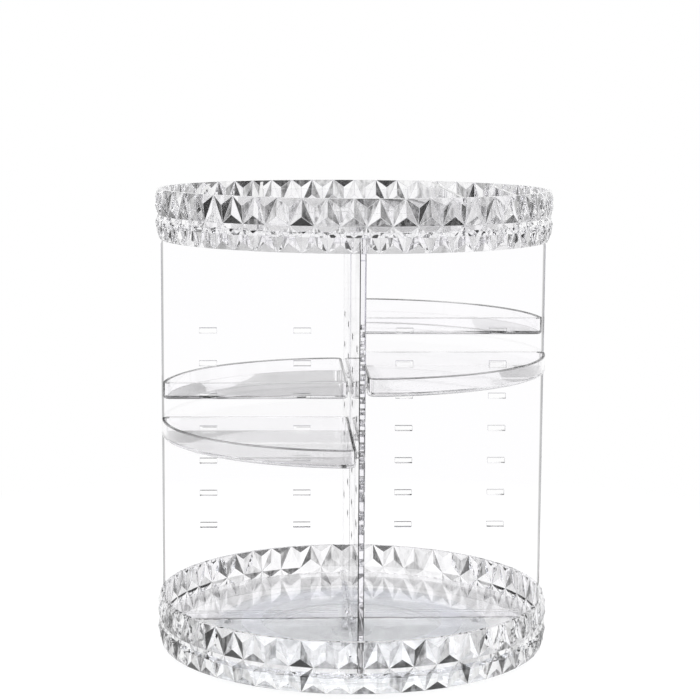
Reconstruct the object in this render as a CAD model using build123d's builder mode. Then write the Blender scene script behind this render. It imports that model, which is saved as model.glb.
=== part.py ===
from build123d import *
from math import cos, radians, sin, sqrt
import os

# Rotating cosmetics carousel, in millimetres. The origin is on the table under the axis.
# +Z is up and the front is -Y. Two trays with diamond-cut rims are held apart by two
# crossing panels, each quarter holds a shelf, and the whole turns on a hidden ball race.

# Rims: three rings of corners (top edge, middle, lower edge) with a raised tip between them
rim_tip_radius = 115.0
rim_height = 29.0
rim_middle_share = 0.49
diamonds_round = 52
diamonds_turn_degrees = 0.9
top_edge_cut = 1.4
middle_cut = 1.2
lower_edge_cut = 2.2
lowest_tip_cut = 0.7
rim_wall = 2.4

# Tray floors
floor_thickness = 2.5
floor_recess = 8.5

# Upright panels
panel_height = 235.25
panel_thickness = 3.5
panel_half_width = 112.0
panel_end_clearance = 0.3
panel_seat_gap = 0.05
panel_shoulder_height = 3.5
lap_clearance = 0.15
lap_end_clearance = 0.3

# Slots in the panels, in rows and columns
slot_rows = 7
slot_pitch = 19.3
first_slot_height = 57.0
inner_slot_column = 30.0
outer_slot_column = 85.0
slot_height = 3.0

# Ribs on the trays that hold the panels' edges
rib_height = 4.0
rib_thickness = 1.6
rib_start = 8.0
rib_end = 100.0
rib_clearance_fixed = 0.15
rib_clearance_lifting = 0.3
top_tray_seat_gap = 0.2

# Quarter shelves
shelf_radius = 112.0
shelf_height = 10.0
shelf_wall = 2.0
shelf_floor = 2.0
shelf_gap = 1.0
shelf_corner_radius = 5.0
shelf_hollow_corner_radius = 3.0
shelf_bottom_rounding = 1.5
shelf_rim_rounding = 0.5

# Tabs of the shelves, which slide into the slots
tab_length = 8.0
tab_thickness = 2.4
tab_depth = 1.5
tab_end_clearance = 0.3
tab_seat_gap = 0.05

# Row of slots that each shelf hangs in, counted from the lowest, and its quarter's turn
shelf_places = {
    "shelf_rear_right": (6, 0),
    "shelf_rear_left": (4, 90),
    "shelf_front_left": (3, 180),
    "shelf_front_right": (5, 270),
}

# Dividers in the top tray, placed by their distance from its wall
divider_thickness = 2.0
divider_drop = 0.5
divider_seat_gap = 0.05
divider_end_clearance = 0.3
inner_divider_distance = 57.2
outer_divider_distance = 25.2
cross_divider_offset = 0.0

# Turntable foot
tray_lift = 3.0
pad_thickness = 1.2
pad_radius = 6.0
pad_circle_radius = 76.0
pad_count = 6
foot_radius = 85.0
foot_thickness = 2.0
hub_radius = 12.0
hub_top_gap = 0.2
hub_thickness = 2.6
recess_radius = 9.0

# Ball race
race_radius = 60.0
race_land_width = 12.0
race_land_height = 1.8
race_gap = 2.2
ball_radius = 2.0
ball_clearance = 0.08
ball_count = 18
cage_thickness = 1.4
cage_width = 8.0
cage_pocket_clearance = 0.15
ring_flange_radius = 80.0
ring_flange_thickness = 2.6

# Screws that hold the upper ring of the race to the base tray
ring_screw_circle_radius = 74.0
ring_screw_count = 4
ring_screw_radius = 1.2
ring_screw_thread_length = 3.0
ring_screw_head_radius = 2.4
ring_screw_head_height = 1.2
ring_screw_clearance = 0.05
ring_screw_way_clearance = 0.3
ring_boss_radius = 3.2
screw_tip_room = 0.4

# Pivot screw on the axis
pivot_shoulder_radius = 3.0
pivot_running_clearance = 0.05
pivot_thread_radius = 1.8
pivot_thread_length = 6.5
pivot_head_radius = 5.2
pivot_head_height = 1.3
pivot_boss_radius = 6.0
pivot_boss_length = 5.3
washer_radius = 7.5
washer_thickness = 0.4
washer_bore_clearance = 0.1
washer_running_gap = 0.1
driver_slot_width = 1.0
driver_slot_depth = 0.6

# Heights that follow from the sizes above
rim_inner_radius = rim_tip_radius - max(top_edge_cut, middle_cut) - rim_wall
base_floor_bottom = tray_lift + floor_recess
base_floor_top = base_floor_bottom + floor_thickness
panel_bottom = base_floor_top + panel_seat_gap
panel_top = panel_bottom + panel_height
top_floor_bottom = panel_top + top_tray_seat_gap
top_floor_top = top_floor_bottom + floor_thickness
top_rim_bottom = top_floor_bottom - floor_recess
top_rim_top = top_rim_bottom + rim_height
panel_half_width_in_trays = rim_inner_radius - panel_end_clearance
slot_length = tab_length + tab_depth + 2 * tab_end_clearance
slot_columns = (inner_slot_column, outer_slot_column)
inner_divider_offset = rim_inner_radius - inner_divider_distance
outer_divider_offset = rim_inner_radius - outer_divider_distance

foot_bottom = pad_thickness
foot_top = foot_bottom + foot_thickness
land_top = foot_top + race_land_height
ball_height = land_top + race_gap / 2
ring_bottom = land_top + race_gap
flange_top = ring_bottom + ring_flange_thickness

pivot_boss_bottom = base_floor_bottom - pivot_boss_length
hub_top = pivot_boss_bottom - hub_top_gap
hub_bottom = hub_top - hub_thickness
washer_top = hub_bottom - washer_running_gap
pivot_head_top = washer_top - washer_thickness

os.makedirs("parts", exist_ok=True)


def write(builder, name):
    """Labels a finished piece and writes its STEP file."""
    builder.part.label = name
    export_step(builder.part, f"parts/{name}.step")


def rim_corner(radius, half_steps, height):
    """A point of the diamond pattern, counted in half diamonds from the front."""
    angle = radians(-90 + diamonds_turn_degrees + half_steps * 180 / diamonds_round)
    return (radius * cos(angle), radius * sin(angle), height)


def pyramid(corners, tip):
    """The three facets of one raised diamond half."""
    a, b, c = corners
    return [Face(Wire.make_polygon(points)) for points in ((a, b, tip), (b, c, tip), (c, a, tip))]


def diamond_cut_drum(bottom):
    """A closed drum with two rows of raised diamond halves around it."""
    top = bottom + rim_height
    middle = bottom + rim_middle_share * rim_height
    tips = {
        "up_hanging": top - (top - middle) / 3,
        "up_standing": middle + (top - middle) / 3,
        "low_hanging": middle - (middle - bottom) / 3,
        "low_standing": bottom + (middle - bottom) / 3,
    }
    facets = []
    top_edge = []
    lower_edge = []
    for step in range(0, 2 * diamonds_round, 2):
        top_left = rim_corner(rim_tip_radius - top_edge_cut, step - 1, top)
        top_right = rim_corner(rim_tip_radius - top_edge_cut, step + 1, top)
        here = rim_corner(rim_tip_radius - middle_cut, step, middle)
        following = rim_corner(rim_tip_radius - middle_cut, step + 2, middle)
        low_left = rim_corner(rim_tip_radius - lower_edge_cut, step - 1, bottom)
        low_right = rim_corner(rim_tip_radius - lower_edge_cut, step + 1, bottom)
        low_tip_radius = rim_tip_radius - lowest_tip_cut
        facets += pyramid((top_left, top_right, here), rim_corner(rim_tip_radius, step, tips["up_hanging"]))
        facets += pyramid((here, top_right, following), rim_corner(rim_tip_radius, step + 1, tips["up_standing"]))
        facets += pyramid((here, following, low_right), rim_corner(rim_tip_radius, step + 1, tips["low_hanging"]))
        facets += pyramid((low_left, here, low_right), rim_corner(low_tip_radius, step, tips["low_standing"]))
        top_edge.append(top_right)
        lower_edge.append(low_right)
    facets.append(Face(Wire.make_polygon(top_edge)))
    facets.append(Face(Wire.make_polygon(lower_edge)))
    return Solid(Shell(facets))


def quarter_outline(inset, corner_radius):
    """The plan of a quarter shelf in the +X +Y quarter, drawn in by an inset."""
    near = panel_thickness / 2 + shelf_gap + inset
    reach = shelf_radius - inset
    far = sqrt(reach**2 - near**2)
    diagonal = reach / sqrt(2)
    with BuildSketch() as plan:
        with BuildLine():
            Line((near, near), (far, near))
            ThreePointArc((far, near), (diagonal, diagonal), (near, far))
            Line((near, far), (near, near))
        make_face()
        fillet(plan.vertices(), corner_radius)
    return plan.sketch


def panel_outline():
    """The plan of a panel: its ends are drawn in where they stand inside the trays."""
    low_shoulder = tray_lift + rim_height
    high_shoulder = top_rim_bottom
    corners = [
        (panel_half_width_in_trays, panel_bottom),
        (panel_half_width_in_trays, low_shoulder),
        (panel_half_width, low_shoulder + panel_shoulder_height),
        (panel_half_width, high_shoulder - panel_shoulder_height),
        (panel_half_width_in_trays, high_shoulder),
        (panel_half_width_in_trays, panel_top),
    ]
    mirrored = [(-across, height) for across, height in reversed(corners)]
    with BuildSketch() as plan:
        with BuildLine():
            Polyline(corners + mirrored, close=True)
        make_face()
        with Locations([(0, base_floor_top + first_slot_height + row * slot_pitch) for row in range(slot_rows)]):
            for column in slot_columns:
                with Locations((column, 0), (-column, 0)):
                    Rectangle(slot_length, slot_height, mode=Mode.SUBTRACT)
    return plan.sketch


def rib_outline(clearance):
    """Pairs of ribs along the four arms of the cross, with the panels' thickness between them."""
    across = panel_thickness / 2 + clearance + rib_thickness / 2
    with BuildSketch() as plan:
        for turn in range(0, 360, 90):
            for side in (-across, across):
                with Locations(Rotation(0, 0, turn) * Pos((rib_start + rib_end) / 2, side)):
                    Rectangle(rib_end - rib_start, rib_thickness)
    return plan.sketch


panel_plan = panel_outline()
shelf_plan = quarter_outline(0, shelf_corner_radius)
shelf_hollow_plan = quarter_outline(shelf_wall, shelf_hollow_corner_radius)
fixed_rib_plan = rib_outline(rib_clearance_fixed)
lifting_rib_plan = rib_outline(rib_clearance_lifting)
lap_width = panel_thickness + 2 * lap_clearance
lap_middle = (panel_bottom + panel_top) / 2

# Foot: a disc with the lower land of the ball race and a raised hub
with BuildPart() as foot_plate:
    with BuildSketch(Plane.XY.offset(foot_bottom)):
        Circle(foot_radius)
    extrude(amount=foot_thickness)
    with BuildSketch(Plane.XY.offset(foot_bottom)):
        Circle(race_radius + race_land_width / 2)
        Circle(race_radius - race_land_width / 2, mode=Mode.SUBTRACT)
    extrude(amount=land_top - foot_bottom)
    with BuildSketch(Plane.XY.offset(foot_bottom)):
        Circle(hub_radius)
    extrude(amount=hub_top - foot_bottom)
    with BuildSketch(Plane.XY.offset(foot_bottom)):
        Circle(recess_radius)
    extrude(amount=hub_bottom - foot_bottom, mode=Mode.SUBTRACT)
    with BuildSketch(Plane.XY.offset(foot_bottom)):
        Circle(pivot_shoulder_radius + pivot_running_clearance)
    extrude(amount=hub_top - foot_bottom, mode=Mode.SUBTRACT)
    with BuildSketch(Plane.XZ):
        with Locations((race_radius, ball_height)):
            Circle(ball_radius + ball_clearance)
    revolve(axis=Axis.Z, mode=Mode.SUBTRACT)
write(foot_plate, "foot_plate")

with BuildPart() as foot_pads:
    with BuildSketch(Plane.XY):
        with PolarLocations(pad_circle_radius, pad_count):
            Circle(pad_radius)
    extrude(amount=pad_thickness)
write(foot_pads, "foot_pads")

# Ball race between foot and tray
with BuildPart(Plane.XY.offset(ball_height)) as bearing_balls:
    with PolarLocations(race_radius, ball_count):
        Sphere(ball_radius)
write(bearing_balls, "bearing_balls")

with BuildPart() as ball_cage:
    with BuildSketch(Plane.XY.offset(ball_height - cage_thickness / 2)):
        Circle(race_radius + cage_width / 2)
        Circle(race_radius - cage_width / 2, mode=Mode.SUBTRACT)
        with PolarLocations(race_radius, ball_count):
            Circle(ball_radius + cage_pocket_clearance, mode=Mode.SUBTRACT)
    extrude(amount=cage_thickness)
write(ball_cage, "ball_cage")

with BuildPart() as bearing_ring:
    with BuildSketch(Plane.XY.offset(ring_bottom)):
        Circle(ring_flange_radius)
        Circle(race_radius - race_land_width / 2, mode=Mode.SUBTRACT)
    extrude(amount=ring_flange_thickness)
    with BuildSketch(Plane.XY.offset(ring_bottom)):
        Circle(race_radius + race_land_width / 2)
        Circle(race_radius - race_land_width / 2, mode=Mode.SUBTRACT)
    extrude(amount=base_floor_bottom - ring_bottom)
    with BuildSketch(Plane.XY.offset(ring_bottom)):
        with PolarLocations(ring_screw_circle_radius, ring_screw_count):
            Circle(ring_screw_radius + ring_screw_way_clearance)
    extrude(amount=ring_flange_thickness, mode=Mode.SUBTRACT)
    with BuildSketch(Plane.XY.offset(ring_bottom)):
        with PolarLocations(ring_screw_circle_radius, ring_screw_count):
            Circle(ring_screw_head_radius + ring_screw_way_clearance)
    extrude(amount=ring_screw_head_height, mode=Mode.SUBTRACT)
    with BuildSketch(Plane.XZ):
        with Locations((race_radius, ball_height)):
            Circle(ball_radius + ball_clearance)
    revolve(axis=Axis.Z, mode=Mode.SUBTRACT)
write(bearing_ring, "bearing_ring")

with BuildPart() as ring_screws:
    with BuildSketch(Plane.XY.offset(ring_bottom)):
        with PolarLocations(ring_screw_circle_radius, ring_screw_count):
            Circle(ring_screw_head_radius)
    extrude(amount=ring_screw_head_height)
    with BuildSketch(Plane.XY.offset(ring_bottom)):
        with PolarLocations(ring_screw_circle_radius, ring_screw_count):
            Circle(ring_screw_radius)
    extrude(amount=ring_flange_thickness + ring_screw_thread_length)
    with BuildSketch(Plane.XY.offset(ring_bottom)):
        with PolarLocations(ring_screw_circle_radius, ring_screw_count):
            Rectangle(2 * ring_screw_radius, driver_slot_width)
            Rectangle(driver_slot_width, 2 * ring_screw_radius)
    extrude(amount=driver_slot_depth, mode=Mode.SUBTRACT)
write(ring_screws, "ring_screws")

# Pivot: a shoulder screw from below through washer and hub into the tray's boss
with BuildPart() as pivot_screw:
    with BuildSketch(Plane.XY.offset(pivot_head_top)):
        Circle(pivot_head_radius)
    extrude(amount=-pivot_head_height)
    with BuildSketch(Plane.XY.offset(pivot_head_top)):
        Circle(pivot_shoulder_radius)
    extrude(amount=pivot_boss_bottom - pivot_head_top)
    with BuildSketch(Plane.XY.offset(pivot_boss_bottom)):
        Circle(pivot_thread_radius)
    extrude(amount=pivot_thread_length)
    with BuildSketch(Plane.XY.offset(pivot_head_top - pivot_head_height)):
        Rectangle(2 * pivot_shoulder_radius, driver_slot_width)
        Rectangle(driver_slot_width, 2 * pivot_shoulder_radius)
    extrude(amount=driver_slot_depth, mode=Mode.SUBTRACT)
write(pivot_screw, "pivot_screw")

with BuildPart() as pivot_washer:
    with BuildSketch(Plane.XY.offset(pivot_head_top)):
        Circle(washer_radius)
        Circle(pivot_shoulder_radius + washer_bore_clearance, mode=Mode.SUBTRACT)
    extrude(amount=washer_thickness)
write(pivot_washer, "pivot_washer")

# Base tray: drum hollowed above and below its floor, with bosses under it and ribs on it
base_drum = diamond_cut_drum(tray_lift)
with BuildPart() as base_tray:
    add(base_drum)
    with BuildSketch(Plane.XY.offset(base_floor_top)):
        Circle(rim_inner_radius)
    extrude(amount=rim_height, mode=Mode.SUBTRACT)
    with BuildSketch(Plane.XY.offset(base_floor_bottom)):
        Circle(rim_inner_radius)
    extrude(amount=-rim_height, mode=Mode.SUBTRACT)
    with BuildSketch(Plane.XY.offset(base_floor_bottom)):
        Circle(pivot_boss_radius)
    extrude(amount=pivot_boss_bottom - base_floor_bottom)
    with BuildSketch(Plane.XY.offset(base_floor_bottom)):
        with PolarLocations(ring_screw_circle_radius, ring_screw_count):
            Circle(ring_boss_radius)
    extrude(amount=flange_top - base_floor_bottom)
    with BuildSketch(Plane.XY.offset(pivot_boss_bottom)):
        Circle(pivot_thread_radius + pivot_running_clearance)
    extrude(amount=pivot_thread_length + screw_tip_room, mode=Mode.SUBTRACT)
    with BuildSketch(Plane.XY.offset(flange_top)):
        with PolarLocations(ring_screw_circle_radius, ring_screw_count):
            Circle(ring_screw_radius + ring_screw_clearance)
    extrude(amount=ring_screw_thread_length + screw_tip_room, mode=Mode.SUBTRACT)
    with BuildSketch(Plane.XY.offset(base_floor_top)):
        add(fixed_rib_plan)
    extrude(amount=rib_height)
write(base_tray, "base_tray")

# Panels: each is cut to half its height in the middle, one from below and one from above
with BuildPart() as panel_front_back:
    with BuildSketch(Plane.YZ.offset(-panel_thickness / 2)):
        add(panel_plan)
        with Locations((0, panel_bottom)):
            Rectangle(lap_width, 2 * (lap_middle + lap_end_clearance - panel_bottom), mode=Mode.SUBTRACT)
    extrude(amount=panel_thickness)
write(panel_front_back, "panel_front_back")

with BuildPart() as panel_left_right:
    with BuildSketch(Plane.XZ.offset(-panel_thickness / 2)):
        add(panel_plan)
        with Locations((0, panel_top)):
            Rectangle(lap_width, 2 * (panel_top - lap_middle), mode=Mode.SUBTRACT)
    extrude(amount=panel_thickness)
write(panel_left_right, "panel_left_right")

# Shelves: the tabs lie at the inner end of their slots, so that a shelf can slide out
tab_rise = shelf_floor / 2
slot_floor_offset = tab_seat_gap - slot_height / 2 - tab_rise
tab_reach = shelf_gap + tab_depth
tab_root = shelf_wall / 2
for shelf_name, (shelf_row, turn) in shelf_places.items():
    underside = base_floor_top + first_slot_height + shelf_row * slot_pitch + slot_floor_offset
    quarter = Plane(origin=(0, 0, underside), x_dir=(cos(radians(turn)), sin(radians(turn)), 0))
    with BuildPart() as shelf:
        with BuildSketch(quarter):
            add(shelf_plan)
        extrude(amount=shelf_height)
        fillet(shelf.faces().sort_by(Axis.Z)[0].edges(), shelf_bottom_rounding)
        with BuildSketch(quarter.offset(shelf_floor)):
            add(shelf_hollow_plan)
        extrude(amount=shelf_height - shelf_floor, mode=Mode.SUBTRACT)
        fillet(shelf.faces().sort_by(Axis.Z)[-1].edges(), shelf_rim_rounding)
        with BuildSketch(quarter.offset(tab_rise)):
            for column in slot_columns:
                along = column - tab_depth / 2
                across = panel_thickness / 2 - tab_depth + (tab_reach + tab_root) / 2
                with Locations((along, across)):
                    Rectangle(tab_length, tab_reach + tab_root)
                with Locations((across, along)):
                    Rectangle(tab_reach + tab_root, tab_length)
        extrude(amount=tab_thickness)
    write(shelf, shelf_name)

# Top tray: the same drum, with ribs under its floor that straddle the panels
top_drum = diamond_cut_drum(top_rim_bottom)
with BuildPart() as top_tray:
    add(top_drum)
    with BuildSketch(Plane.XY.offset(top_floor_top)):
        Circle(rim_inner_radius)
    extrude(amount=rim_height, mode=Mode.SUBTRACT)
    with BuildSketch(Plane.XY.offset(top_floor_bottom)):
        Circle(rim_inner_radius)
    extrude(amount=-rim_height, mode=Mode.SUBTRACT)
    with BuildSketch(Plane.XY.offset(top_floor_bottom)):
        add(lifting_rib_plan)
    extrude(amount=-rib_height)
write(top_tray, "top_tray")

# Dividers: four from front to rear, and one across between the inner pair
divider_bottom = top_floor_top + divider_seat_gap
divider_height = top_rim_top - divider_drop - divider_bottom
divider_places = {
    "divider_left_outer": -outer_divider_offset,
    "divider_left_inner": -inner_divider_offset,
    "divider_right_inner": inner_divider_offset,
    "divider_right_outer": outer_divider_offset,
}
for divider_name, offset_across in divider_places.items():
    corner_across = abs(offset_across) + divider_thickness / 2
    half_length = sqrt(rim_inner_radius**2 - corner_across**2) - divider_end_clearance
    with BuildPart() as divider:
        with BuildSketch(Plane.XY.offset(divider_bottom)):
            with Locations((offset_across, 0)):
                Rectangle(divider_thickness, 2 * half_length)
        extrude(amount=divider_height)
    write(divider, divider_name)

with BuildPart() as divider_cross:
    with BuildSketch(Plane.XY.offset(divider_bottom)):
        with Locations((0, cross_divider_offset)):
            Rectangle(2 * (inner_divider_offset - divider_end_clearance) - divider_thickness, divider_thickness)
    extrude(amount=divider_height)
write(divider_cross, "divider_cross")
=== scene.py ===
from math import cos, radians, sin

import bpy
from mathutils import Matrix, Vector


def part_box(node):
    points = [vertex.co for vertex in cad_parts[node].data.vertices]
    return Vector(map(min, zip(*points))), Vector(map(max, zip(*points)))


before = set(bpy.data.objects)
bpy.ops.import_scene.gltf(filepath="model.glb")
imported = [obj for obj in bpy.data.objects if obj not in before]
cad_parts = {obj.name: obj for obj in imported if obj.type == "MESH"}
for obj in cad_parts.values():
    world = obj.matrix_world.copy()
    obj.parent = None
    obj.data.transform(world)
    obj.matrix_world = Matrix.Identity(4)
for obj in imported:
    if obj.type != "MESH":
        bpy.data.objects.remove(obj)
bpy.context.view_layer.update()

# Lengths are in metres, angles in degrees, and patterns are so many waves or patches to a metre

# The camera, as the photograph shows the object: it stands a little left of the front
IMAGE_WIDTH = 700
CAMERA_LENS = 97.16
SENSOR_WIDTH = 36.0
CAMERA_DISTANCE = 1.1079
CAMERA_AZIMUTH = -2.52
CAMERA_ELEVATION = 7.62
CAMERA_ROLL = 0.359
CAMERA_SEES_TO = 50.0
AIM_HEIGHT = 0.1753
OBJECT_RIGHT_OF_CENTRE = 3.34

WHITE = (1.0, 1.0, 1.0, 1.0)

# Optics of the clear plastic: its surface, its depth, and the lamps' light that it lets through
PLASTIC_IOR = 1.5
CLEAR_COLOUR = (0.995, 0.992, 1.0, 1.0)
PLASTIC_TINT = (0.962, 0.96, 0.972, 1.0)
PLASTIC_TINT_DENSITY = 6.0
LAMPLIGHT_THROUGH = (0.97, 0.975, 0.98, 1.0)

# Roughness of polished plastic, and of edges where the mould closes
POLISHED = 0.01
MOULD_EDGE = 0.08

# Waves that the mould leaves in clear plastic, and their height
SHEET_WAVES = (18.0, 0.00004)
SHELF_WAVES = (22.0, 0.00004)
FACET_WAVES = (25.0, 0.00002)
FROSTED_WAVES = (300.0, 0.00001)
WAVES_DETAIL = 1.0

# Patches in which a value of a material varies, and its lowest and highest share there
PATCHES_DETAIL = 3.0
HAZE_PATCHES = 60.0
HAZE_SHARES = (0.4, 1.6)
FROST_PATCHES = 90.0
FROST_SHARES = (0.6, 1.4)
GLOSS_PATCHES = 35.0
GLOSS_SHARES = (0.8, 1.2)
DARKER_PATCHES = 0.94
GRAIN = 2500.0
SCRATCHES = 900.0
SCRATCHES_DETAIL = 6.0
SCRATCHES_SHARES = (0.6, 1.5)
SCRATCHES_HEIGHT = 0.00001

# Panels get painted shade: a grey strip along their outer ends, on faces whose normal has this share across the panel
END_STRIP = 0.0012
BROAD_FACE_SHARE = 0.9
END_PAINTED_GREYS = (0.35, 0.7)
END_PATCHES = 30.0

# Shelves get painted shade: grey along the upper edge of their walls, the straight walls less than the round one
RIM_LINE = 0.0008
RIM_PAINTED_GREYS = (-0.25, 0.8)
RIM_PATCHES = 25.0
ROUND_WALL = 0.004
STRAIGHT_WALL_LIGHTER = 0.6

# Facets are the faces outside a radius that aren't nearly level; facets with the same normal, to a step, share a
# painted tone that stands in for reflected light and shade, with painted streaks in it
FACETS_FROM = 0.1121
FACET_LEVEL_BELOW = 0.75
FACET_STEP = 0.02
FACET_STREAKS = 420.0
STREAK_STRETCH = 0.35
STREAK_SHARE = 0.3

# The rims: their height, the upper row's share of it, and how much lighter upward facets are painted, as painted
# light
RIM_HEIGHT = 0.029
UPPER_ROW_SHARE = 0.51
FACET_TILT_PAINTED_LIGHT = 0.8

# Painted tones of the cut facets, painted reflections of light and dark, as pairs of chance and tone
TOP_PAINTED_TONES = ((0.0, 0.001), (0.14, 0.03), (0.33, 0.28), (0.5, 0.66), (0.7, 0.92), (1.0, 1.0))
BASE_PAINTED_TONES = ((0.0, 0.004), (0.14, 0.1), (0.36, 0.5), (0.7, 0.84), (1.0, 0.98))

# Each rim's name and painted tones, and how much lighter its lower row is painted
RIMS = (("top_tray", TOP_PAINTED_TONES, 0.95), ("base_tray", BASE_PAINTED_TONES, 0.2))

# Each panel's name, the axis that it is thin along, the painted tones of reflected light and shade across its edges
# as pairs of share and tone, how wide the painted dark side of its end faces is, and the rounding of its edges
PANELS = (
    ("panel_front_back", "X", ((0.0, 0.0), (0.15, 0.9), (0.85, 1.0)), 0.00052, 0.00037),
    ("panel_left_right", "Y", ((0.0, 0.85), (0.5, 0.85)), 0.0, 0.00012),
)

SHELVES = ("shelf_front_left", "shelf_front_right", "shelf_rear_left", "shelf_rear_right")
DIVIDERS = ("divider_left_outer", "divider_left_inner", "divider_right_inner", "divider_right_outer", "divider_cross")

# Rounded edges: the facets' and the dividers' rounding, and how milky the edges are
FACET_ROUNDING = 0.00016
DIVIDER_ROUNDING = 0.00025
FACET_FROST = 0.7
DIVIDER_FROST = 0.1
PANEL_FROST = 0.04
WELD_DISTANCE = 0.000002
ROUNDING_SEGMENTS = 2
ROUNDED_FROM_ANGLE = 10.0

# The floor: its drop below the pads, its half width, what it gives back to the object, and what the camera sees of it
FLOOR_DROP = 0.0003
FLOOR_REACH = 12.0
FLOOR_COLOUR = (0.8, 0.8, 0.8, 1.0)
FLOOR_GLOW = 0.72
FLOOR_SHADED = (0.3, 0.3, 0.3, 1.0)

# The floor shows the shadow up to the first distance from the axis, and is plain white from the second
SHADOW_REACH = 0.22
WHITE_FROM = 0.5

# The studio's fields of light: the share from which each level starts, how small they are, and the heights between
# which they set in
FIELDS = ((0.0, 0.01), (0.2, 0.25), (0.38, 0.7), (0.52, 1.0))
FIELDS_SCALE = 5.0
FIELDS_FROM = 0.1
FIELDS_FULL = 0.16
STUDIO_LIGHT = 0.75

# Each lamp's name, place, size and power, and the point that all shine at
LAMPS = (
    ("key", (-1.1, -1.2, 1.3), 0.7, 14.0),
    ("fill", (1.4, -0.8, 0.9), 0.8, 7.0),
    ("top", (0.0, 0.2, 1.7), 0.9, 9.0),
)
LAMPS_AIM = (0.0, 0.0, 0.14)

# Few enough mirrored bounces to keep the shelves' edges drawn, and enough refracted ones to see through everything
GLOSSY_BOUNCES = 16
TRANSMISSION_BOUNCES = 96
TRANSPARENT_BOUNCES = 40


def new_material(name):
    """A material with an empty tree, and its output node."""
    material = bpy.data.materials.new(name)
    material.use_nodes = True
    tree = material.node_tree
    tree.nodes.clear()
    return material, tree, tree.nodes.new("ShaderNodeOutputMaterial")


def feed(tree, value, socket):
    """Links an input to an output, or sets it to a number or colour."""
    if isinstance(value, bpy.types.NodeSocket):
        tree.links.new(value, socket)
    else:
        socket.default_value = value


def add_node(tree, kind, **sockets):
    """A node with some of its inputs set or linked, by names with underscores for blanks."""
    node = tree.nodes.new(kind)
    for key, value in sockets.items():
        feed(tree, value, node.inputs[key.replace("_", " ")])
    return node


def maths(tree, operation, first, second=0.0):
    """A Math node on two values, each a socket or a number."""
    node = tree.nodes.new("ShaderNodeMath")
    node.operation = operation
    feed(tree, first, node.inputs[0])
    feed(tree, second, node.inputs[1])
    return node.outputs["Value"]


def vector_maths(tree, operation, source, second):
    """A Vector Math node on a socket and a constant."""
    node = tree.nodes.new("ShaderNodeVectorMath")
    node.operation = operation
    tree.links.new(source, node.inputs[0])
    node.inputs[1].default_value = second
    return node.outputs["Vector"]


def length(tree, source):
    """The length of a vector."""
    node = tree.nodes.new("ShaderNodeVectorMath")
    node.operation = "LENGTH"
    tree.links.new(source, node.inputs[0])
    return node.outputs["Value"]


def split(tree, source):
    """The X, Y and Z of a vector."""
    return add_node(tree, "ShaderNodeSeparateXYZ", Vector=source).outputs


def ranged(tree, source, low=0.0, high=1.0, start=0.0, end=1.0):
    """The source's values from start to end mapped to a range."""
    node = add_node(tree, "ShaderNodeMapRange", Value=source, From_Min=start, From_Max=end, To_Min=low, To_Max=high)
    return node.outputs["Result"]


def noise(tree, place, scale, detail):
    """Smooth noise at a place."""
    return add_node(tree, "ShaderNodeTexNoise", Vector=place, Scale=scale, Detail=detail).outputs["Fac"]


def object_noise(tree, scale, detail=PATCHES_DETAIL):
    """Smooth noise fixed to the object."""
    return noise(tree, tree.nodes.new("ShaderNodeTexCoord").outputs["Object"], scale, detail)


def varied(tree, source, value, shares):
    """A value that the noise varies between two shares of itself."""
    low, high = shares
    return ranged(tree, source, value * low, value * high)


def bumps(tree, height, distance):
    """The normal of a surface raised by a height map up to a distance."""
    return add_node(tree, "ShaderNodeBump", Height=height, Strength=1.0, Distance=distance).outputs["Normal"]


def mix_colours(tree, share, first, second):
    """The first colour with a share of the second, each a socket or a colour."""
    node = tree.nodes.new("ShaderNodeMix")
    node.data_type = "RGBA"
    tree.links.new(share, node.inputs["Factor"])
    feed(tree, first, node.inputs[6])
    feed(tree, second, node.inputs[7])
    return node.outputs[2]


def mix_shaders(tree, first, second, share=0.5):
    """The first shader with a share of the second."""
    node = add_node(tree, "ShaderNodeMixShader", Fac=share)
    tree.links.new(first, node.inputs[1])
    tree.links.new(second, node.inputs[2])
    return node.outputs["Shader"]


def tone_ramp(tree, source, stops, kind="LINEAR"):
    """Greys by the source's value, from stops of value and grey."""
    node = add_node(tree, "ShaderNodeValToRGB", Fac=source)
    node.color_ramp.interpolation = kind
    elements = node.color_ramp.elements
    elements[1].position = stops[1][0]
    for start, _ in stops[2:]:
        elements.new(start)
    for element, (_, tone) in zip(elements, stops):
        element.color = (tone, tone, tone, 1.0)
    return node.outputs["Color"]


def object_place(tree):
    """The point on the object, and its distance from the axis."""
    place = tree.nodes.new("ShaderNodeTexCoord").outputs["Object"]
    return place, length(tree, vector_maths(tree, "MULTIPLY", place, (1.0, 1.0, 0.0)))


def object_normal(tree):
    """The way a face points, as fixed to the object."""
    surface = tree.nodes.new("ShaderNodeNewGeometry")
    turned = add_node(tree, "ShaderNodeVectorTransform", Vector=surface.outputs["True Normal"])
    turned.vector_type = "NORMAL"
    turned.convert_from = "WORLD"
    turned.convert_to = "OBJECT"
    return turned.outputs["Vector"]


def glass_shader(tree, colour, roughness, waves):
    """Clear plastic, slightly wavy as moulded, with a faint haze that varies."""
    per_metre, height = waves
    shader = add_node(
        tree, "ShaderNodeBsdfPrincipled",
        Base_Color=colour,
        IOR=PLASTIC_IOR,
        Transmission_Weight=1.0,
        Roughness=varied(tree, object_noise(tree, HAZE_PATCHES), roughness, HAZE_SHARES),
        Normal=bumps(tree, object_noise(tree, per_metre, WAVES_DETAIL), height),
    )
    return shader.outputs["BSDF"]


def finish_clear(tree, output, surface):
    """Lets the lamps' light through a clear surface, and gives its inside a faint tint."""
    through = add_node(tree, "ShaderNodeBsdfTransparent", Color=LAMPLIGHT_THROUGH)
    path = tree.nodes.new("ShaderNodeLightPath")
    both = mix_shaders(tree, surface, through.outputs["BSDF"], path.outputs["Is Shadow Ray"])
    tree.links.new(both, output.inputs["Surface"])
    tint = add_node(tree, "ShaderNodeVolumeAbsorption", Color=PLASTIC_TINT, Density=PLASTIC_TINT_DENSITY)
    tree.links.new(tint.outputs["Volume"], output.inputs["Volume"])


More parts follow.
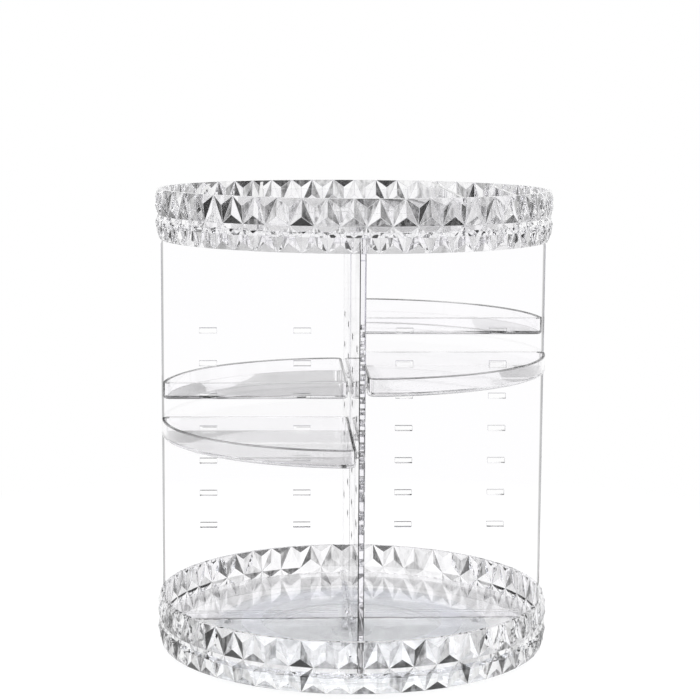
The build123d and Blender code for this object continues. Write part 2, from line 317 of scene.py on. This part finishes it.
def finish_frosted(tree, output, colour, frost, roughness):
    """A clear surface that is milky by a share."""
    clear = glass_shader(tree, colour, roughness, FROSTED_WAVES)
    through = add_node(tree, "ShaderNodeBsdfTranslucent", Color=WHITE)
    back = add_node(tree, "ShaderNodeBsdfDiffuse", Color=WHITE)
    milk = mix_shaders(tree, through.outputs["BSDF"], back.outputs["BSDF"])
    share = varied(tree, object_noise(tree, FROST_PATCHES), frost, FROST_SHARES)
    finish_clear(tree, output, mix_shaders(tree, clear, milk, share))


def clear_plastic(name):
    """Clear plastic of one colour."""
    material, tree, output = new_material(name)
    finish_clear(tree, output, glass_shader(tree, CLEAR_COLOUR, POLISHED, SHEET_WAVES))
    return material


def clear_panel(name, axis, end, dark_to):
    """A clear panel with painted shade: grey strips along its outer ends, and one dark side on its end faces."""
    material, tree, output = new_material(name)
    place, radius = object_place(tree)
    facing = split(tree, object_normal(tree))[axis]
    broad = maths(tree, "GREATER_THAN", maths(tree, "ABSOLUTE", facing), BROAD_FACE_SHARE)
    at_end = maths(tree, "GREATER_THAN", radius, end - END_STRIP)
    painted_dark_side = maths(tree, "LESS_THAN", split(tree, place)[axis], dark_to)
    # painted shade: a grey strip on the broad faces at the ends, and a dark side on the end faces
    painted_shade = maths(tree, "MULTIPLY", at_end, maths(tree, "MAXIMUM", broad, painted_dark_side))
    painted_greys = ranged(tree, object_noise(tree, END_PATCHES), *END_PAINTED_GREYS)
    colour = mix_colours(tree, painted_shade, CLEAR_COLOUR, maths(tree, "MULTIPLY", broad, painted_greys))
    finish_clear(tree, output, glass_shader(tree, colour, POLISHED, SHEET_WAVES))
    return material


def panel_edge(name, axis, half, tones):
    """The rounded edges of a panel, with painted tones of reflected light and shade across them."""
    material, tree, output = new_material(name)
    across = split(tree, object_place(tree)[0])[axis]
    # painted reflections: tones of light and shade across the edge, by position
    colour = tone_ramp(tree, ranged(tree, across, start=-half, end=half), tones, "CONSTANT")
    finish_frosted(tree, output, colour, PANEL_FROST, MOULD_EDGE)
    return material


def clear_shelf(name, top, reach):
    """A clear shelf whose walls have painted shade, greyer along their upper edge, most of all the round one."""
    material, tree, output = new_material(name)
    place, radius = object_place(tree)
    # painted shade: a grey line along the top of the walls
    at_top = maths(tree, "GREATER_THAN", split(tree, place)["Z"], top - RIM_LINE)
    painted_greys = ranged(tree, object_noise(tree, RIM_PATCHES), *RIM_PAINTED_GREYS)
    straight = maths(tree, "LESS_THAN", radius, reach - ROUND_WALL)
    tone = maths(tree, "ADD", painted_greys, maths(tree, "MULTIPLY", straight, STRAIGHT_WALL_LIGHTER))
    colour = mix_colours(tree, at_top, CLEAR_COLOUR, tone)
    finish_clear(tree, output, glass_shader(tree, colour, POLISHED, SHELF_WAVES))
    return material


def cut_facets(name, middle, tones, lower_row_painted_lighter):
    """Clear plastic whose outer facets each have a streaky painted tone that stands in for reflected light and shade,
    upward facets and the lower row painted lighter.
    """
    material, tree, output = new_material(name)
    place, radius = object_place(tree)
    normal = object_normal(tree)
    tilt = split(tree, normal)["Z"]
    outside = maths(tree, "GREATER_THAN", radius, FACETS_FROM)
    upright = maths(tree, "LESS_THAN", maths(tree, "ABSOLUTE", tilt), FACET_LEVEL_BELOW)
    steps = vector_maths(tree, "SNAP", normal, (FACET_STEP, FACET_STEP, FACET_STEP))
    lot = add_node(tree, "ShaderNodeTexWhiteNoise", Vector=steps)
    stretched = vector_maths(tree, "MULTIPLY", place, (1.0, 1.0, STREAK_STRETCH))
    streaks = noise(tree, stretched, FACET_STREAKS, WAVES_DETAIL)
    lower_row = maths(tree, "LESS_THAN", split(tree, place)["Z"], middle)
    # painted reflections: a random tone for each facet's normal, painted lighter on upward facets, on the lower row
    # and along streaks
    chance = maths(tree, "ADD", lot.outputs["Value"], maths(tree, "MULTIPLY", tilt, FACET_TILT_PAINTED_LIGHT))
    chance = maths(tree, "ADD", chance, maths(tree, "MULTIPLY", lower_row, lower_row_painted_lighter))
    chance = maths(tree, "ADD", chance, ranged(tree, streaks, -STREAK_SHARE, STREAK_SHARE))
    facets = maths(tree, "MULTIPLY", outside, upright)
    # the painted tones go on the upright outer facets only
    colour = mix_colours(tree, facets, CLEAR_COLOUR, tone_ramp(tree, chance, tones))
    finish_clear(tree, output, glass_shader(tree, colour, POLISHED, FACET_WAVES))
    return material


def frosted_plastic(name, colour, frost, roughness=MOULD_EDGE):
    """Clear plastic that is a little milky: rounded edges where the mould closes, and the foot."""
    material, tree, output = new_material(name)
    finish_frosted(tree, output, (*colour, 1.0), frost, roughness)
    return material


def moulded_plastic(name, colour, roughness, grain_height):
    """Satin moulded plastic with a fine grain and slightly uneven gloss."""
    material, tree, output = new_material(name)
    patches = object_noise(tree, GLOSS_PATCHES)
    darker = (*(c * DARKER_PATCHES for c in colour), 1.0)
    shader = add_node(
        tree, "ShaderNodeBsdfPrincipled",
        Base_Color=mix_colours(tree, patches, darker, (*colour, 1.0)),
        IOR=PLASTIC_IOR,
        Roughness=varied(tree, patches, roughness, GLOSS_SHARES),
        Normal=bumps(tree, object_noise(tree, GRAIN), grain_height),
    )
    tree.links.new(shader.outputs["BSDF"], output.inputs["Surface"])
    return material


def steel(name, colour, roughness):
    """Plated or polished steel with fine scratches."""
    material, tree, output = new_material(name)
    scratches = object_noise(tree, SCRATCHES, SCRATCHES_DETAIL)
    shader = add_node(
        tree, "ShaderNodeBsdfPrincipled",
        Base_Color=(*colour, 1.0),
        Metallic=1.0,
        Roughness=varied(tree, scratches, roughness, SCRATCHES_SHARES),
        Normal=bumps(tree, scratches, SCRATCHES_HEIGHT),
    )
    tree.links.new(shader.outputs["BSDF"], output.inputs["Surface"])
    return material


def give(node_names, material, edge=None, rounding=0.0):
    """Sets the material of CAD nodes, and rounds their edges with another one."""
    for name in node_names:
        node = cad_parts[name]
        node.data.materials.clear()
        node.data.materials.append(material)
        if edge is None:
            continue
        node.data.materials.append(edge)
        weld = node.modifiers.new("weld", "WELD")
        weld.merge_threshold = WELD_DISTANCE
        bevel = node.modifiers.new("rounding", "BEVEL")
        bevel.width = rounding
        bevel.segments = ROUNDING_SEGMENTS
        bevel.limit_method = "ANGLE"
        bevel.angle_limit = radians(ROUNDED_FROM_ANGLE)
        bevel.material = 1
        bevel.use_clamp_overlap = True


def make_materials():
    """Materials of all pieces."""
    facet_edge = frosted_plastic("facet_edge", (0.99, 0.99, 0.99), FACET_FROST)
    for name, tones, lower_row_painted_lighter in RIMS:
        rim_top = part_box(name)[1][2]
        facets = cut_facets("clear_" + name, rim_top - RIM_HEIGHT * UPPER_ROW_SHARE, tones, lower_row_painted_lighter)
        give((name,), facets, facet_edge, FACET_ROUNDING)
    for name, axis, tones, painted_dark_side, rounding in PANELS:
        half, end = sorted(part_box(name)[1][:2])
        sheet = clear_panel("clear_" + name, axis, end, painted_dark_side - half)
        give((name,), sheet, panel_edge("edge_" + name, axis, half, tones), rounding)
    # painted shade: the dividers' rounded edges are tinted grey to draw dark edge lines
    divider_edge = frosted_plastic("edge_divider", (0.6, 0.6, 0.61), DIVIDER_FROST)
    give(DIVIDERS, clear_plastic("clear_divider"), divider_edge, DIVIDER_ROUNDING)
    for name in SHELVES:
        low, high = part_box(name)
        reach = max(abs(low[0]), abs(high[0]))
        give((name,), clear_shelf("clear_" + name, high[2], reach))
    white = moulded_plastic("white_moulded", (0.96, 0.963, 0.97), roughness=0.35, grain_height=0.00002)
    give(("ball_cage",), white)
    milky = frosted_plastic("milky_plastic", (0.977, 0.974, 0.98), frost=0.6, roughness=0.2)
    give(("foot_plate", "bearing_ring"), milky)
    rubber = moulded_plastic("pad_rubber", (0.75, 0.755, 0.76), roughness=0.75, grain_height=0.00006)
    give(("foot_pads",), rubber)
    give(("bearing_balls",), steel("ball_steel", (0.8, 0.81, 0.82), roughness=0.06))
    zinc = steel("screw_zinc", (0.68, 0.69, 0.7), roughness=0.28)
    give(("ring_screws", "pivot_screw", "pivot_washer"), zinc)


def make_camera():
    """The photograph's camera."""
    azimuth = radians(CAMERA_AZIMUTH)
    elevation = radians(CAMERA_ELEVATION)
    back = Vector((sin(azimuth) * cos(elevation), -cos(azimuth) * cos(elevation), sin(elevation)))
    camera_data = bpy.data.cameras.new("camera")
    camera_data.lens = CAMERA_LENS
    camera_data.sensor_width = SENSOR_WIDTH
    camera_data.clip_end = CAMERA_SEES_TO
    camera_data.shift_x = -OBJECT_RIGHT_OF_CENTRE / IMAGE_WIDTH
    camera = bpy.data.objects.new("camera", camera_data)
    bpy.context.scene.collection.objects.link(camera)
    turn = (-back).to_track_quat("-Z", "Y").to_matrix().to_4x4()
    place = Vector((0.0, 0.0, AIM_HEIGHT)) + back * CAMERA_DISTANCE
    camera.matrix_world = Matrix.Translation(place) @ turn @ Matrix.Rotation(radians(CAMERA_ROLL), 4, "Z")
    bpy.context.scene.camera = camera


def seen_rays(tree):
    """1 for rays that show the background: straight, mirrored or refracted ones."""
    path = tree.nodes.new("ShaderNodeLightPath").outputs
    straight_or_mirrored = maths(tree, "MAXIMUM", path["Is Camera Ray"], path["Is Glossy Ray"])
    return maths(tree, "MAXIMUM", straight_or_mirrored, path["Is Transmission Ray"])


def make_floor():
    """A white floor that keeps the shadow."""
    mesh = bpy.data.meshes.new("floor")
    corners = [(-FLOOR_REACH, -FLOOR_REACH, 0), (FLOOR_REACH, -FLOOR_REACH, 0)]
    corners += [(FLOOR_REACH, FLOOR_REACH, 0), (-FLOOR_REACH, FLOOR_REACH, 0)]
    mesh.from_pydata(corners, [], [(0, 1, 2, 3)])
    floor = bpy.data.objects.new("floor", mesh)
    floor.location.z = -FLOOR_DROP
    bpy.context.scene.collection.objects.link(floor)
    material, tree, output = new_material("floor_white")
    matte = add_node(tree, "ShaderNodeBsdfDiffuse", Color=FLOOR_COLOUR)
    glow = add_node(tree, "ShaderNodeEmission", Strength=FLOOR_GLOW)
    shaded = add_node(tree, "ShaderNodeBsdfDiffuse", Color=FLOOR_SHADED)
    near = tree.nodes.new("ShaderNodeAddShader")
    tree.links.new(glow.outputs["Emission"], near.inputs[0])
    tree.links.new(shaded.outputs["BSDF"], near.inputs[1])
    far = add_node(tree, "ShaderNodeEmission", Strength=1.0)
    distance = length(tree, tree.nodes.new("ShaderNodeTexCoord").outputs["Object"])
    farness = ranged(tree, distance, start=SHADOW_REACH, end=WHITE_FROM)
    shown = mix_shaders(tree, near.outputs["Shader"], far.outputs["Emission"], farness)
    surface = mix_shaders(tree, matte.outputs["BSDF"], shown, seen_rays(tree))
    tree.links.new(surface, output.inputs["Surface"])
    mesh.materials.append(material)


def make_world():
    """A white studio whose walls have grey and dark fields above the horizon, which the facets pick up."""
    world = bpy.data.worlds.new("studio")
    bpy.context.scene.world = world
    world.use_nodes = True
    tree = world.node_tree
    tree.nodes.clear()
    output = tree.nodes.new("ShaderNodeOutputWorld")
    direction = tree.nodes.new("ShaderNodeTexCoord").outputs["Generated"]
    fields = add_node(tree, "ShaderNodeTexVoronoi", Vector=direction, Scale=FIELDS_SCALE)
    levels = tone_ramp(tree, split(tree, fields.outputs["Color"])["X"], FIELDS, "CONSTANT")
    height = ranged(tree, split(tree, direction)["Z"], start=FIELDS_FROM, end=FIELDS_FULL)
    walls = add_node(tree, "ShaderNodeBackground", Color=mix_colours(tree, height, WHITE, levels))
    soft = add_node(tree, "ShaderNodeBackground", Color=WHITE, Strength=STUDIO_LIGHT)
    plain = add_node(tree, "ShaderNodeBackground", Color=WHITE, Strength=1.0)
    by_kind = mix_shaders(tree, soft.outputs["Background"], walls.outputs["Background"], seen_rays(tree))
    to_camera = tree.nodes.new("ShaderNodeLightPath").outputs["Is Camera Ray"]
    surface = mix_shaders(tree, by_kind, plain.outputs["Background"], to_camera)
    tree.links.new(surface, output.inputs["Surface"])


def make_lamps():
    """A soft key from the left front, a weaker fill and a top lamp, none of which shows in the clear plastic."""
    for name, place, size, power in LAMPS:
        data = bpy.data.lights.new(name, "AREA")
        data.energy = power
        data.size = size
        lamp = bpy.data.objects.new(name, data)
        bpy.context.scene.collection.objects.link(lamp)
        lamp.location = place
        lamp.rotation_mode = "QUATERNION"
        lamp.rotation_quaternion = (Vector(LAMPS_AIM) - Vector(place)).to_track_quat("-Z", "Y")
        lamp.visible_glossy = False
        lamp.visible_transmission = False


make_materials()
make_camera()
make_floor()
make_world()
make_lamps()

scene = bpy.context.scene
scene.view_settings.view_transform = "Standard"
scene.cycles.max_bounces = TRANSMISSION_BOUNCES
scene.cycles.transmission_bounces = TRANSMISSION_BOUNCES
scene.cycles.glossy_bounces = GLOSSY_BOUNCES
scene.cycles.transparent_max_bounces = TRANSPARENT_BOUNCES

bpy.context.view_layer.update()
